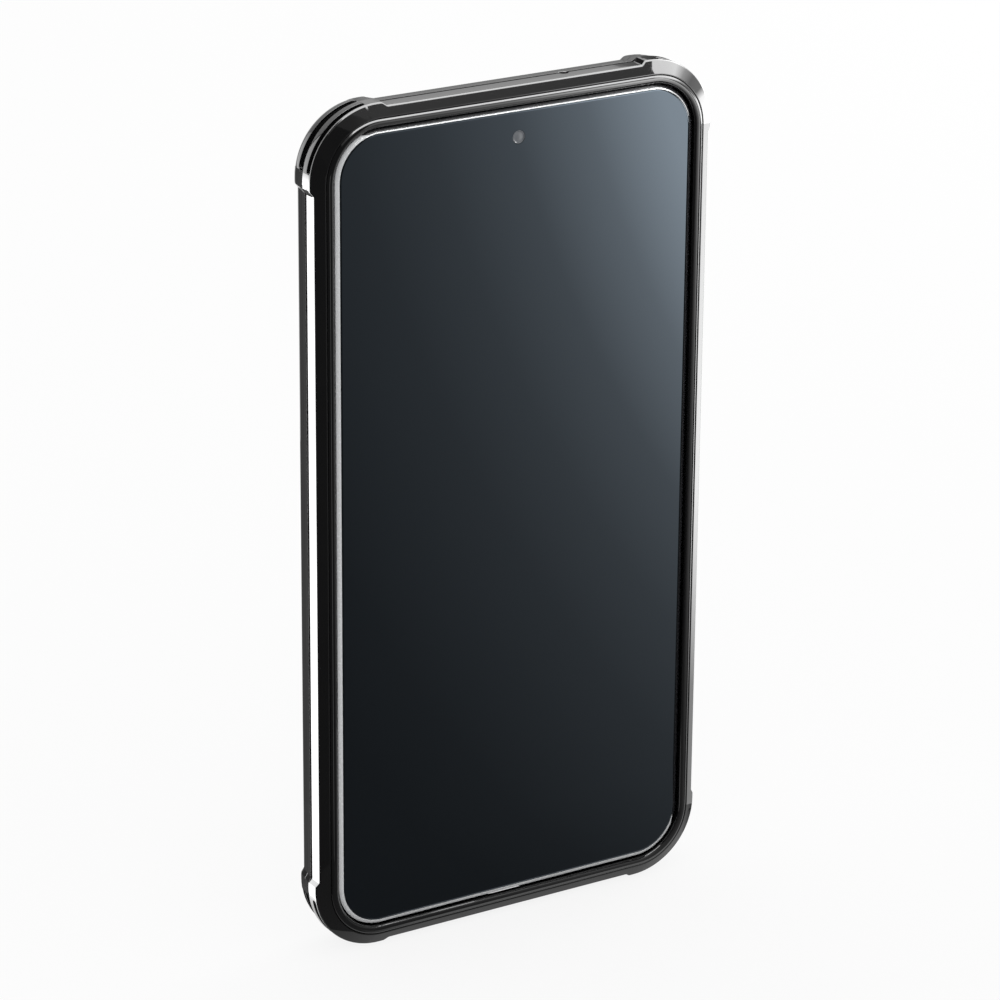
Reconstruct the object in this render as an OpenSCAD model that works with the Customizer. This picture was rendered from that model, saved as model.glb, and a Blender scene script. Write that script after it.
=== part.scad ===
// Glossy bumper case for a slab handset, shown with a plain handset fitted.
// Each piece is drawn lying on its back: x to the right, y up the handset, z out of the screen.
// stand() turns the finished piece upright, with the screen facing -Y and the base at z = 0.

/* [Handset] */
// Width across the side band
handset_w = 71; // [64:0.5:80]
// Height from end to end
handset_h = 146.5; // [138:0.5:170]
// Thickness from the rear cover to the front glass
handset_t = 7.6; // [7.2:0.1:9.5]
// Plan radius of the corners
handset_r = 8.5; // [7.5:0.5:12]
// Plan width of the polished rim round the screen
rim_w = 0.8; // [0.6:0.05:1.2]
// How far that rim slopes down to the side band
rim_drop = 0.45; // [0.3:0.05:0.8]
// Thickness of the front glass
glass_t = 0.7; // [0.5:0.05:1]
// Thickness of the display panel behind the glass
display_t = 0.5; // [0.3:0.05:0.8]
// Black border between the edge of the glass and the display
bezel_w = 1.9; // [1.2:0.1:3.5]
// Thickness of the rear cover
cover_t = 0.7; // [0.5:0.05:1]
// Glue line round each bonded panel
bond = 0.05; // [0.03:0.01:0.1]

/* [Front camera] */
// Diameter of the front lens
front_lens_d = 2.4; // [2:0.1:3.4]
// Black margin round the front lens
front_lens_margin = 0.5; // [0.3:0.1:0.8]
// Depth of the front lens behind the glass
front_lens_t = 1.4; // [1:0.1:2]
// Centre of the front lens below the top edge of the glass
front_lens_drop = 4.5; // [4:0.1:7]

/* [Rear cameras] */
// Width of the camera island
island_w = 18; // [16:0.5:22]
// Height of the camera island
island_h = 37; // [34:0.5:44]
// Distance from the island to the handset's top and side
island_margin = 5.5; // [5:0.1:8]
// How far the island stands out of the rear cover
island_proud = 1.7; // [1.2:0.05:1.8]
// Outside diameter of a lens ring
lens_ring_d = 13; // [11:0.5:14]
// Radial width of a lens ring
lens_ring_w = 1.1; // [0.8:0.1:1.6]
// How far a lens ring stands out of the island
lens_ring_proud = 0.4; // [0.2:0.05:0.5]
// Distance between the two lens centres
lens_pitch = 14.4; // [14.2:0.1:16]
// Depth of the lens seats
lens_seat = 0.9; // [0.6:0.05:1.1]
// Diameter of the flash
flash_d = 4.4; // [3:0.1:5]

/* [Case frame] */
// Clearance between the handset and the frame
side_gap = 0.3; // [0.3:0.05:0.6]
// Clearance between the handset and the back plate
back_gap = 0.2; // [0.15:0.05:0.4]
// Thickness of the frame at the front edge of the rails
wall_t = 3.35; // [2.9:0.05:4.5]
// Height of the lip above the screen
lip_h = 0.6; // [0.45:0.05:1.2]
// Width of the rounded bead along the lip
bead_w = 1.55; // [1.2:0.05:1.6]
// Rise of that bead from its sides to its crown
bead_h = 0.78; // [0.6:0.02:0.9]
// Drop from the crown of the bead to the shelf beside it
shelf_drop = 0.4; // [0.3:0.05:0.45]
// Width of bead and shelf together
shelf_reach = 1.75; // [1.65:0.05:2.1]
// Drop of the front chamfer from the shelf to the rails
chamfer_drop = 0.95; // [0.7:0.05:1.3]
// Depth of the parting line below the screen
part_depth = 3.7; // [3.5:0.1:4.2]
// Bulge of the rails from the front edge to the parting line
draft_front = 0.02; // [0.01:0.01:0.2]
// Fall of the rails from the parting line to the rear
draft_rear = 0.5; // [0.15:0.01:0.7]
// Radius of the rounded rear edge
rear_r = 2.6; // [1.5:0.1:2.8]

/* [Corner bumpers] */
// How far the bumpers stand proud of the rails
proud = 0.6; // [0.4:0.05:0.8]
// Straight run of a bumper past the corner's arc
bumper_run = 0.9; // [0.5:0.1:4]
// Length of the ramp from bumper to rail
ramp_l = 0.95; // [0.6:0.05:2]
// Width of a groove
groove_w = 1.1; // [0.8:0.05:1.2]
// Distance between the two grooves
groove_pitch = 2.75; // [2.4:0.05:2.9]
// Distance from the parting line forwards to the middle between the grooves
groove_forward = 0.25; // [0.1:0.05:0.4]
// Depth of a groove
groove_depth = 1.1; // [0.5:0.05:1.4]
// Angle from the end of the arc to the centre of a groove's round end
groove_inset = 11; // [6:1:20]
// Setback of the rear rib from the bumper's ends
rib_drop = 0.35; // [0.1:0.05:0.5]

/* [Back plate] */
// Thickness of the back plate
back_t = 1.5; // [1.4:0.05:2]
// Width of the frame's flange behind the handset
flange_w = 2.2; // [1.8:0.1:3]
// Width of the step that keys the plate into the flange
rebate_w = 1.2; // [0.8:0.1:1.5]
// Clearance round the camera island
window_gap = 0.5; // [0.4:0.05:1]
// Width of the raised rim round the camera window
window_rim_w = 1.6; // [1.2:0.1:2.5]
// Height of that rim above the plate
window_rim_h = 0.8; // [0.7:0.05:1.4]

/* [Keys] */
// Length of the handset's volume key
volume_l = 20; // [16:0.5:24]
// Height of the volume key's centre above the middle of the handset
volume_y = 34; // [30:0.5:38]
// Length of the handset's power key
power_l = 10; // [8:0.5:13]
// Height of the power key's centre above the middle of the handset
power_y = 10; // [6:0.5:13]
// Width of the handset's keys
key_w = 2.4; // [2:0.1:2.8]
// How far the handset's keys stand out of its side band
key_proud = 0.22; // [0.15:0.01:0.25]
// Length of a handset key inside the side band
key_stem = 1.6; // [1.2:0.1:2.4]
// Travel of the keys
key_travel = 0.3; // [0.2:0.05:0.4]
// Running clearance round keys and key covers
key_gap = 0.2; // [0.15:0.05:0.3]
// Gap between a handset key and the cover's pad
pad_gap = 0.12; // [0.1:0.01:0.2]
// How much wider and longer a cover is than the key behind it
cover_margin = 1; // [0.7:0.1:1.2]
// Width of the flange that keeps a cover in its window
cover_flange_w = 0.6; // [0.4:0.05:0.8]
// Thickness of that flange
cover_flange_t = 0.5; // [0.4:0.05:0.7]
// How far a cover stands proud of the rail
cover_proud = 0.5; // [0.3:0.05:0.6]

/* [Bottom and top openings] */
// Width of the charging port opening
port_w = 13; // [11:0.5:16]
// Height of the charging port opening
port_h = 5.8; // [4.8:0.1:6.2]
// Width of the charging socket
socket_w = 9; // [8.6:0.1:9.4]
// Height of the charging socket
socket_h = 3.2; // [3:0.1:3.4]
// Depth of the charging socket
socket_depth = 6; // [5:0.5:8]
// Wall of the charging socket
socket_wall = 0.3; // [0.25:0.05:0.4]
// Thickness of the contact tongue in the socket
tongue_t = 0.7; // [0.6:0.05:0.8]
// Width of the loudspeaker opening
speaker_w = 12; // [10:0.5:14]
// Height of the loudspeaker opening
speaker_h = 2.6; // [2:0.1:3.4]
// Centre of the loudspeaker opening to the right of the port
speaker_x = 17; // [15:0.5:19]
// Diameter of a loudspeaker hole in the handset
speaker_hole_d = 1.2; // [0.8:0.1:1.4]
// Number of loudspeaker holes
speaker_holes = 6; // [4:1:7]
// Diameter of the microphone holes
mic_d = 1.6; // [1.2:0.1:2.2]
// Microphone hole in the top, to the right of the middle
mic_top_x = 11; // [8:0.5:16]
// Microphone hole in the bottom, to the left of the port
mic_bottom_x = 12; // [10:0.5:16]
// Depth of small holes in the handset
hole_depth = 1.5; // [1:0.1:2.5]

/* [Hidden] */
$fn = 64;

// Heights above the plate's outer face
z_floor = back_t;
z_rear = z_floor + back_gap;
z_glass = z_rear + handset_t;
z_top = z_glass + lip_h;
z_shelf = z_top - shelf_drop;
z_part = z_glass - part_depth;
z_rib = z_part + groove_forward - groove_pitch / 2;
z_low = -window_rim_h;
z_mid = z_rear + handset_t / 2;

// Distances outwards from the handset's outline
d_pocket = side_gap;
d_shelf = d_pocket + shelf_reach;
d_wall = d_pocket + wall_t;
d_part = d_wall + draft_front;
d_rear = d_part - draft_rear;
d_rib = d_rear + proud - rib_drop;
d_flange = -flange_w;
d_rebate = d_flange + rebate_w;
chamfer_slope = chamfer_drop / (wall_t - shelf_reach);

// Corner centres and overall size
corner_x = handset_w / 2 - handset_r;
corner_y = handset_h / 2 - handset_r;
bumper_l = bumper_run + ramp_l;
case_h = handset_h + 2 * (d_part + proud);

// Camera island and window
island_x = handset_w / 2 - island_margin - island_w / 2;
island_y = handset_h / 2 - island_margin - island_h / 2;
lens_y = island_h / 2 - island_w / 2;
flash_y = (-island_h / 2 + lens_y - lens_pitch - lens_ring_d / 2) / 2;

// Cutters reach past the faces that they cut by this much
over = 1;
arc_steps = 8;

// Arc round c with a half width and a half height
function arc(c, half, from, to) = [
    for (i = [0:arc_steps])
        let (a = from + (to - from) * i / arc_steps)
        [c[0] + half[0] * cos(a), c[1] + half[1] * sin(a)]
];

// Section through the frame: outwards distance, height. out moves the outer faces of a bumper.
function frame_section(out) = concat(
    [[d_pocket, z_floor]],
    arc([d_pocket + bead_w / 2, z_top - bead_h], [bead_w / 2, bead_h], 180, asin(1 - shelf_drop / bead_h)),
    [[d_shelf, z_shelf]],
    [[d_wall + out, z_shelf - chamfer_slope * (wall_t + out - shelf_reach)]],
    [[d_part + out, z_part]],
    arc([d_rear + out - rear_r, rear_r], [rear_r, rear_r], 0, -90),
    [[d_flange, 0], [d_flange, z_floor / 2], [d_rebate, z_floor / 2], [d_rebate, z_floor]]
);

// Section cut away behind the rear groove
function rib_cut() = concat(
    [[d_part + proud + over, z_rib], [d_rib + draft_rear * (z_rib - rear_r) / (z_part - rear_r), z_rib]],
    arc([d_rib - rear_r, rear_r], [rear_r, rear_r], 0, -90),
    [[d_rib - rear_r, -over], [d_part + proud + over, -over]]
);

// Turns a piece upright on its base
module stand() {
    translate([0, (z_top + z_low) / 2, case_h / 2])
        rotate([90, 0, 0])
            children();
}

// Repeats a child at the four corner centres, turned to face outwards
module at_corners() {
    for (i = [0:3])
        translate([(i == 0 || i == 3 ? 1 : -1) * corner_x, (i < 2 ? 1 : -1) * corner_y, 0])
            rotate(90 * i)
                children();
}

// Repeats a child on the middle of the right, top, left and bottom sides
module at_sides() {
    for (i = [0:3])
        rotate(90 * i)
            translate([(i % 2 == 0 ? handset_w : handset_h) / 2, 0, 0]) {
                $half_side = i % 2 == 0 ? corner_y : corner_x;
                children();
            }
}

// Sweeps a section along a straight side between two places on it
module along_side(section, from, to) {
    translate([0, to, 0])
        rotate([90, 0, 0])
            linear_extrude(to - from)
                polygon(section);
}

// Sweeps a section through one corner, leaving out an angle at both ends
module round_corner(section, inset = 0) {
    rotate(inset)
        rotate_extrude(angle = 90 - 2 * inset)
            translate([handset_r, 0])
                polygon(section);
}

module rounded(w, h, r) {
    square([w - 2 * r, h], center = true);
    square([w, h - 2 * r], center = true);
    for (x = [-1, 1], y = [-1, 1])
        translate([x * (w / 2 - r), y * (h / 2 - r)])
            circle(r);
}

// Slab with the handset's outline moved outwards by d
module slab(d, from, to) {
    translate([0, 0, from])
        linear_extrude(to - from)
            rounded(handset_w + 2 * d, handset_h + 2 * d, handset_r + d);
}

// Round-ended bar in plan, a circle when both sizes are the same
module stadium(w, h) {
    r = min(w, h) / 2;
    run = max(w, h) / 2 - r;
    rotate(w < h ? 90 : 0) {
        if (run > 0)
            square([2 * run, 2 * r], center = true);
        for (x = run > 0 ? [-run, run] : [0])
            translate([x, 0])
                circle(r);
    }
}

// Camera island's outline moved outwards by d
module island_slab(d, from, to) {
    translate([island_x, island_y, from])
        linear_extrude(to - from)
            stadium(island_w + 2 * d, island_h + 2 * d);
}

// Round-ended bar that runs outwards through the bottom wall
module bottom_bar(w, h, x, from, to) {
    translate([x, -handset_h / 2 - from, z_mid])
        rotate([90, 0, 0])
            linear_extrude(to - from)
                stadium(w, h);
}

// Round-ended bar that runs outwards through the right wall at height y
module key_bar(l, w, y, from, to) {
    translate([handset_w / 2 + from, y, z_mid])
        rotate([90, 0, 90])
            linear_extrude(to - from)
                stadium(l, w);
}

// Wedge that slopes a bumper's end down to the rail
module ramp_cut() {
    translate([0, 0, -over])
        linear_extrude(z_top + 2 * over)
            polygon([
                [d_part, 0], [d_part + proud + over, ramp_l * (proud + over) / proud],
                [d_part + proud + over, -over], [d_part, -over]
            ]);
}

module bumper_frame() {
    groove = [
        for (p = [[-groove_depth, -1], [over, -1], [over, 1], [-groove_depth, 1]])
            [d_part + proud + p[0], p[1] * groove_w / 2]
    ];
    color([0.1, 0.1, 0.11])
        stand()
            difference() {
                union() {
                    at_corners()
                        difference() {
                            round_corner(frame_section(proud));
                            for (side = [-1, 1])
                                translate([0, 0, z_part + groove_forward + side * groove_pitch / 2]) {
                                    round_corner(groove, groove_inset);
                                    groove_ends();
                                }
                            round_corner(rib_cut(), groove_inset);
                        }
                    at_sides() {
                        rail_end = $half_side - bumper_l;
                        along_side(frame_section(0), -rail_end, rail_end);
                        for (turn = [0, 1])
                            mirror([0, turn, 0])
                                difference() {
                                    along_side(frame_section(proud), rail_end, $half_side);
                                    translate([0, rail_end, 0])
                                        ramp_cut();
                                }
                    }
                }
                key_window(volume_l, volume_y);
                key_window(power_l, power_y);
                bottom_bar(port_w, port_h, 0, -over, d_part + proud + over);
                bottom_bar(speaker_w, speaker_h, speaker_x, -over, d_part + proud + over);
                bottom_bar(mic_d, mic_d, -mic_bottom_x, -over, d_part + proud + over);
                translate([mic_top_x, handset_h / 2, z_part])
                    rotate([-90, 0, 0])
                        cylinder(d = mic_d, h = d_part + proud + over);
            }
}

// Round ends of a groove
module groove_ends() {
    for (end = [groove_inset, 90 - groove_inset])
        rotate(end)
            translate([handset_r + d_part + proud - groove_depth, 0, 0])
                rotate([0, 90, 0])
                    cylinder(d = groove_w, h = groove_depth + over);
}

// Window for a key cover, with a recess inside for the cover's flange
module key_window(l, y) {
    grow = 2 * (cover_margin + key_gap);
    wide = grow + 2 * cover_flange_w;
    key_bar(l + grow, key_w + grow, y, 0, d_part + over);
    key_bar(l + wide, key_w + wide, y, 0, flange_top() + bond);
}

// Outer face of a cover's flange, so that its inner face clears the pocket when pressed
function flange_top() = d_pocket + key_travel + bond + cover_flange_t;

module key_cover(l, y) {
    grow = 2 * cover_margin;
    wide = grow + 2 * cover_flange_w;
    color([0.14, 0.14, 0.15])
        stand() {
            key_bar(l, key_w, y, key_proud + pad_gap, d_part);
            key_bar(l + wide, key_w + wide, y, flange_top() - cover_flange_t, flange_top());
            key_bar(l + grow, key_w + grow, y, flange_top() - cover_flange_t, d_part + cover_proud);
        }
}

module volume_key_cover() {
    key_cover(volume_l, volume_y);
}

module power_key_cover() {
    key_cover(power_l, power_y);
}

module back_plate() {
    color([0.12, 0.12, 0.13])
        stand()
            difference() {
                union() {
                    slab(d_flange - bond, 0, z_floor / 2 + bond);
                    slab(d_rebate - bond, z_floor / 2 + bond, z_floor);
                    island_slab(window_gap + window_rim_w, z_low, z_floor / 2);
                }
                island_slab(window_gap, z_low - over, z_floor + over);
            }
}

// Slope cut round the front and rear edges of the handset's side band
module edge_cut(z, up) {
    section = [
        [-rim_w, z], [over, z - up * rim_drop * (1 + over / rim_w)],
        [over, z + up * over], [-rim_w, z + up * over]
    ];
    at_corners()
        round_corner(section);
    at_sides()
        along_side(section, -$half_side, $half_side);
}

module handset_frame() {
    color([0.07, 0.07, 0.08])
        stand()
            difference() {
                slab(0, z_rear, z_glass);
                edge_cut(z_glass, 1);
                edge_cut(z_rear, -1);
                slab(bond - rim_w, z_glass - glass_t - bond, z_glass + over);
                slab(bond - rim_w - bezel_w, z_glass - glass_t - display_t - 2 * bond, z_glass);
                front_lens_bore(front_lens_d + 2 * bond, front_lens_t + bond);
                slab(bond - rim_w, z_rear - over, z_rear + cover_t + bond);
                island_slab(bond, z_rear - over, z_rear + cover_t + 2 * bond);
                bottom_bar(socket_w + 2 * bond, socket_h + 2 * bond, 0, -socket_depth - bond, over);
                speaker_bores();
                bottom_bar(mic_d, mic_d, -mic_bottom_x, -hole_depth, over);
                key_socket(volume_l, volume_y);
                key_socket(power_l, power_y);
            }
}

// Bore behind the glass for the front camera
module front_lens_bore(d, depth) {
    translate([0, handset_h / 2 - rim_w - front_lens_drop, z_glass - glass_t - bond - depth])
        cylinder(d = d, h = depth);
}

module speaker_bores() {
    pitch = speaker_w / speaker_holes;
    for (i = [0:speaker_holes - 1])
        bottom_bar(speaker_hole_d, speaker_hole_d, speaker_x + (i - (speaker_holes - 1) / 2) * pitch,
            -hole_depth, over);
}

// Pocket in the side band for a key and its travel
module key_socket(l, y) {
    key_bar(l + 2 * key_gap, key_w + 2 * key_gap, y, -key_stem - key_travel - key_gap, over);
}

module front_glass() {
    color([0.1, 0.11, 0.13, 0.5])
        stand()
            slab(-rim_w, z_glass - glass_t, z_glass);
}

module display_panel() {
    color([0.02, 0.02, 0.03])
        stand()
            difference() {
                slab(-rim_w - bezel_w, z_glass - glass_t - display_t - bond, z_glass - glass_t - bond);
                front_lens_bore(front_lens_d + 2 * front_lens_margin, front_lens_t + over);
            }
}

module front_camera() {
    color([0.05, 0.06, 0.1])
        stand()
            front_lens_bore(front_lens_d, front_lens_t);
}

module rear_cover() {
    color([0.05, 0.05, 0.06])
        stand()
            difference() {
                slab(-rim_w, z_rear, z_rear + cover_t);
                island_slab(bond, z_rear - over, z_rear + cover_t + over);
            }
}

// Repeats a child at the two rear lenses
module at_lenses() {
    for (i = [0, 1])
        translate([island_x, island_y + lens_y - i * lens_pitch, z_rear - island_proud])
            children();
}

module camera_island() {
    color([0.08, 0.08, 0.09])
        stand()
            difference() {
                island_slab(0, z_rear - island_proud, z_rear + cover_t + bond);
                at_lenses()
                    translate([0, 0, -over])
                        cylinder(d = lens_ring_d + 2 * bond, h = over + lens_seat + bond);
                flash_seat(flash_d + 2 * bond, over, lens_seat + bond);
            }
}

module flash_seat(d, out, depth) {
    translate([island_x, island_y + flash_y, z_rear - island_proud - out])
        cylinder(d = d, h = out + depth);
}

module lens_rings() {
    color([0.3, 0.3, 0.32])
        stand()
            at_lenses()
                translate([0, 0, -lens_ring_proud])
                    difference() {
                        cylinder(d = lens_ring_d, h = lens_ring_proud + lens_seat);
                        translate([0, 0, -over])
                            cylinder(d = lens_ring_d - 2 * lens_ring_w, h = lens_ring_proud + lens_seat + 2 * over);
                    }
}

module rear_lenses() {
    color([0.06, 0.07, 0.12])
        stand()
            at_lenses()
                cylinder(d = lens_ring_d - 2 * lens_ring_w - 2 * bond, h = lens_seat);
}

module flash_lens() {
    color([0.95, 0.93, 0.82])
        stand()
            flash_seat(flash_d, 0, lens_seat);
}

module usb_socket() {
    color([0.5, 0.5, 0.52])
        stand() {
            difference() {
                bottom_bar(socket_w, socket_h, 0, -socket_depth, 0);
                bottom_bar(socket_w - 2 * socket_wall, socket_h - 2 * socket_wall, 0,
                    socket_wall - socket_depth, over);
            }
            translate([0, -handset_h / 2 + socket_depth / 2 + socket_wall, z_mid])
                cube([socket_w - socket_h, socket_depth - 2 * socket_wall, tongue_t], center = true);
        }
}

module handset_key(l, y) {
    color([0.09, 0.09, 0.1])
        stand()
            key_bar(l, key_w, y, -key_stem, key_proud);
}

module volume_key() {
    handset_key(volume_l, volume_y);
}

module power_key() {
    handset_key(power_l, power_y);
}

bumper_frame();
back_plate();
volume_key_cover();
power_key_cover();
handset_frame();
front_glass();
display_panel();
front_camera();
rear_cover();
camera_island();
lens_rings();
rear_lenses();
flash_lens();
usb_socket();
volume_key();
power_key();
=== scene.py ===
import math

import bmesh
import bpy
from mathutils import Matrix, Vector


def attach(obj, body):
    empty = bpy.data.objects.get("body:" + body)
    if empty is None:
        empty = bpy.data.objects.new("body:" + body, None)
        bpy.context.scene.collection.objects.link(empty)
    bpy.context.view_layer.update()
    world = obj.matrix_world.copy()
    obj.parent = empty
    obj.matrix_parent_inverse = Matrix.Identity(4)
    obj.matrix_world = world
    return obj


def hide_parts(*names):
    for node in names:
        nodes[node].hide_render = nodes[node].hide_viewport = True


print("loading the frame")
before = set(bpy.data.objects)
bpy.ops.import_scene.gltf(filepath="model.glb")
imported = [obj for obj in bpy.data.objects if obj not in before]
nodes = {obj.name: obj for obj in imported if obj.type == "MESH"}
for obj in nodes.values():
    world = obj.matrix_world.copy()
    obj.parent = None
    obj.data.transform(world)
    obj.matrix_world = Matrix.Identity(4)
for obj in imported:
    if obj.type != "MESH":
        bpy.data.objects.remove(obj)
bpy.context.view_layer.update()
scene = bpy.context.scene
scene.view_settings.view_transform = "Standard"
mm = 0.001

# sizes are in mm and written with the part on its back: x right, y up the screen, z out of it
flat = dict(depthShift=4.55, heightShift=77.52)
handset = dict(width=71, height=146.5, corner=8.5, rear=1.7, glass=9.3, rim=0.8, bond=0.05)
middle = (handset["rear"] + handset["glass"]) / 2
past = 1  # how far a cutting tool stands clear of what it cuts


def stand(x, y, z):
    return Vector((x * mm, (flat["depthShift"] - z) * mm, (y + flat["heightShift"]) * mm))


# outlines, lofts and turned shapes


def cornerMid(corner):
    # centre of one of the handset's rounded corners, counted round from the top right
    signX = 1 if corner in (0, 3) else -1
    signY = 1 if corner < 2 else -1
    midX = signX * (handset["width"] / 2 - handset["corner"])
    midY = signY * (handset["height"] / 2 - handset["corner"])
    return midX, midY


def handsetLoop(grow, steps=24):
    radius = handset["corner"] + grow
    loop = []
    for corner in range(4):
        midX, midY = cornerMid(corner)
        for step in range(steps + 1):
            turn = math.radians(90 * corner + 90 * step / steps)
            loop.append((midX + radius * math.cos(turn), midY + radius * math.sin(turn)))
    return loop


def pillLoop(length, width, grow=0, steps=16):
    radius = min(length, width) / 2 + grow
    run = abs(length - width) / 2
    loop = []
    for side in (1, -1):
        for step in range(steps + 1):
            turn = math.radians(-90 + 180 * step / steps)
            u = side * (run + radius * math.cos(turn))
            v = side * radius * math.sin(turn)
            loop.append((u, v) if length >= width else (-v, u))
    return loop


def circleLoop(radius, steps=48):
    turns = [math.tau * i / steps for i in range(steps)]
    return [(radius * math.cos(turn), radius * math.sin(turn)) for turn in turns]


def easedEdge(grow, face, inward, edge):
    # edge is a list of (inset, depth); inward is 1 or -1, the way from the face into the piece
    return [(grow - inset, face + inward * depth) for inset, depth in edge]


def loft(bm, rings, closed=False):
    # a closed loft joins its last ring to the first, any other is capped at both ends
    made = [[bm.verts.new(p) for p in ring] for ring in rings]
    pairs = list(zip(made, made[1:]))
    if closed:
        pairs.append((made[-1], made[0]))
    count = len(made[0])
    for low, high in pairs:
        for i in range(count):
            j = (i + 1) % count
            bm.faces.new((low[i], low[j], high[j], high[i]))
    if not closed:
        bm.faces.new(list(reversed(made[0])))
        bm.faces.new(made[-1])


def slab(bm, levels):
    # levels are (growth of the handset's outline, height)
    loft(bm, [[stand(x, y, z) for x, y in handsetLoop(grow)] for grow, z in levels])


def bottomBar(bm, midX, length, width, levels):
    # pill that runs out through the bottom; levels are (growth, distance out)
    edge = -handset["height"] / 2
    rings = []
    for grow, d in levels:
        outline = pillLoop(length, width, grow)
        rings.append([stand(midX + u, edge - d, middle + v) for u, v in outline])
    loft(bm, rings)


def turned(bm, midX, midY, profile, steps=48, closed=False):
    # profile is (radius, height)
    rings = []
    for radius, z in profile:
        rings.append([stand(midX + x, midY + y, z) for x, y in circleLoop(radius, steps)])
    loft(bm, rings, closed)


def toObject(name, bm):
    bmesh.ops.recalc_face_normals(bm, faces=bm.faces)
    mesh = bpy.data.meshes.new(name)
    bm.to_mesh(mesh)
    bm.free()
    obj = bpy.data.objects.new(name, mesh)
    scene.collection.objects.link(obj)
    return obj


def carve(obj, tool, operation="DIFFERENCE"):
    helper = toObject("helper", tool)
    step = obj.modifiers.new("carve", "BOOLEAN")
    step.operation = operation
    step.solver = "EXACT"
    step.object = helper
    bpy.context.view_layer.update()
    graph = bpy.context.evaluated_depsgraph_get()
    done = bpy.data.meshes.new_from_object(obj.evaluated_get(graph))
    obj.modifiers.remove(step)
    old = obj.data
    obj.data = done
    bpy.data.meshes.remove(old)
    bpy.data.objects.remove(helper)


def finishPiece(obj, body, finish, replaced=(), sharp=28):
    obj.data.name = obj.name
    for face in obj.data.polygons:
        face.use_smooth = True
    obj.data.set_sharp_from_angle(angle=math.radians(sharp))
    weigh = obj.modifiers.new("weigh", "WEIGHTED_NORMAL")
    weigh.keep_sharp = True
    obj.data.materials.clear()
    obj.data.materials.append(finish.material)
    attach(obj, body)
    if replaced:
        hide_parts(*replaced)


# finishes


class Wire:
    def __init__(self, finish, socket):
        self.finish = finish
        self.socket = socket

    def calc(self, operation, other=0.0, flip=False):
        first, second = (other, self) if flip else (self, other)
        return self.finish.node("ShaderNodeMath", {"operation": operation}, {0: first, 1: second})

    def __add__(self, other):
        return self.calc("ADD", other)

    def __sub__(self, other):
        return self.calc("SUBTRACT", other)

    def __rsub__(self, other):
        return self.calc("SUBTRACT", other, flip=True)

    def __mul__(self, other):
        return self.calc("MULTIPLY", other)

    def __gt__(self, other):
        return self.calc("GREATER_THAN", other)

    def __lt__(self, other):
        return self.calc("LESS_THAN", other)

    __radd__ = __add__
    __rmul__ = __mul__


class Finish:
    def __init__(self, name, **fixed):
        self.material = bpy.data.materials.new(name)
        self.material.use_nodes = True
        self.tree = self.material.node_tree
        self.shader = self.tree.nodes["Principled BSDF"]
        self.set(**fixed)

    def set(self, **inputs):
        # baseColor goes to Base Color, ior to IOR
        for key, value in inputs.items():
            label = "".join(" " + c if c.isupper() else c for c in key).strip().title()
            label = label.replace("I O R", "IOR").replace("Ior", "IOR")
            self.feed(self.shader.inputs[label], value)

    def feed(self, target, value):
        if isinstance(value, Wire):
            self.tree.links.new(value.socket, target)
        elif target.type == "RGBA" and len(value) == 3:
            target.default_value = (*value, 1)
        else:
            target.default_value = value

    def node(self, kind, settings=None, sockets=None, out=0):
        made = self.tree.nodes.new(kind)
        for key, value in (settings or {}).items():
            if key == "stops":
                ramp = made.color_ramp
                while len(ramp.elements) < len(value):
                    ramp.elements.new(0.5)
                for element, (place, colour) in zip(ramp.elements, value):
                    element.position = place
                    element.color = (*colour, 1)
            else:
                setattr(made, key, value)
        for key, value in (sockets or {}).items():
            self.feed(made.inputs[key], value)
        return Wire(self, made.outputs[out])

    def surface(self, shaded):
        # what the material shows in place of its own shader
        self.tree.links.new(shaded.socket, self.tree.nodes["Material Output"].inputs[0])

    def place(self):
        return self.node("ShaderNodeTexCoord", out="Object")

    def along(self, axis):
        return self.node("ShaderNodeSeparateXYZ", sockets={0: self.place()}, out=axis)

    def noise(self, scale, detail=2.0):
        return self.node("ShaderNodeTexNoise", {"noise_dimensions": "3D"},
                         {"Vector": self.place(), "Scale": scale, "Detail": detail})

    def spread(self, value, low, high):
        return self.node("ShaderNodeMapRange", {"interpolation_type": "LINEAR"},
                         {"Value": value, "To Min": low, "To Max": high})

    def mix(self, factor, first, second):
        return self.node("ShaderNodeMix", {"data_type": "RGBA"}, {0: factor, 6: first, 7: second}, out=2)

    def bump(self, scale, detail, strength, distance):
        sockets = {"Height": self.noise(scale, detail), "Strength": strength, "Distance": distance}
        return self.node("ShaderNodeBump", None, sockets)


def plainFinish(name, shades, shadeNoise, rough, roughNoise, **fixed):
    # colour wanders between two shades and roughness between two levels; a noise is (scale, detail)
    finish = Finish(name, **fixed)
    finish.set(
        baseColor=finish.mix(finish.noise(*shadeNoise), *shades),
        roughness=finish.spread(finish.noise(*roughNoise), *rough),
    )
    return finish


print("mixing the finishes")

glossBlack = plainFinish(
    "glossBlack", shades=[(0.0022, 0.0022, 0.0024), (0.0042, 0.0042, 0.0045)], shadeNoise=(90.0, 2.0),
    rough=(0.03, 0.07), roughNoise=(700.0, 3.0), ior=1.5,
)
glossBlack.set(normal=glossBlack.bump(scale=420.0, detail=2.0, strength=0.25, distance=0.00002))

satinBlack = plainFinish(
    "satinBlack", shades=[(0.007, 0.007, 0.008), (0.012, 0.012, 0.013)], shadeNoise=(1400.0, 4.0),
    rough=(0.3, 0.46), roughNoise=(2600.0, 3.0), ior=1.5,
)
satinBlack.set(normal=satinBlack.bump(scale=4200.0, detail=3.0, strength=0.35, distance=0.00002))

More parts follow.
